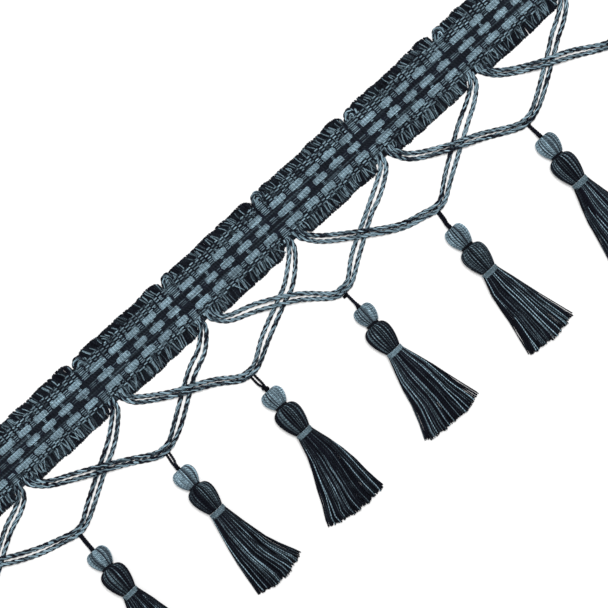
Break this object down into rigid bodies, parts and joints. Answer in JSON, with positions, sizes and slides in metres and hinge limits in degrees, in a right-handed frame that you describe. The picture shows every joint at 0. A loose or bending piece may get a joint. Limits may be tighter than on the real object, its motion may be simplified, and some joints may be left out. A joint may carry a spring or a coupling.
{
  "type": "tassel fringe trim",
  "caption": "Flat woven trim with looped edges, crossing swags of paired twisted cord, and a yarn-covered bead and tassel hanging from each swag.",
  "frame": {"origin": "middle of the heading's flat back", "axes": "+X along the heading, +Y across it away from the tassels, +Z out of its face"},
  "size_m": [0.475, 0.13, 0.0116],
  "materials": {
    "braid": "woven matt yarn, light blue-grey and navy",
    "cord": "twisted yarn, light blue-grey and navy",
    "dark_yarn": "matt navy yarn with a soft sheen",
    "light_yarn": "matt blue-grey yarn with a soft sheen"
  },
  "bodies": {
    "root": {"heading": "braid", "swag_1_upper": "cord", "swag_1_lower": "cord", "swag_2_upper": "cord", "swag_2_lower": "cord", "swag_3_upper": "cord", "swag_3_lower": "cord", "swag_4_upper": "cord", "swag_4_lower": "cord", "swag_5_upper": "cord", "swag_5_lower": "cord", "swag_6_upper": "cord", "swag_6_lower": "cord", "swag_7_upper": "cord", "swag_7_lower": "cord", "swag_8_upper": "cord", "swag_8_lower": "cord", "hanging_loop_1": "dark_yarn", "hanging_loop_2": "dark_yarn", "hanging_loop_3": "dark_yarn", "hanging_loop_4": "dark_yarn", "hanging_loop_5": "dark_yarn", "hanging_loop_6": "dark_yarn", "hanging_loop_7": "dark_yarn", "hanging_loop_8": "dark_yarn", "tassel_1": "dark_yarn", "tassel_2": "dark_yarn", "tassel_3": "dark_yarn", "tassel_4": "dark_yarn", "tassel_5": "dark_yarn", "tassel_6": "dark_yarn", "tassel_7": "dark_yarn", "tassel_8": "dark_yarn", "bead_1": "light_yarn", "bead_2": "light_yarn", "bead_3": "light_yarn", "bead_4": "light_yarn", "bead_5": "light_yarn", "bead_6": "light_yarn", "bead_7": "light_yarn", "bead_8": "light_yarn", "binding_1": "light_yarn", "binding_2": "light_yarn", "binding_3": "light_yarn", "binding_4": "light_yarn", "binding_5": "light_yarn", "binding_6": "light_yarn", "binding_7": "light_yarn", "binding_8": "light_yarn"}
  },
  "joints": []
}
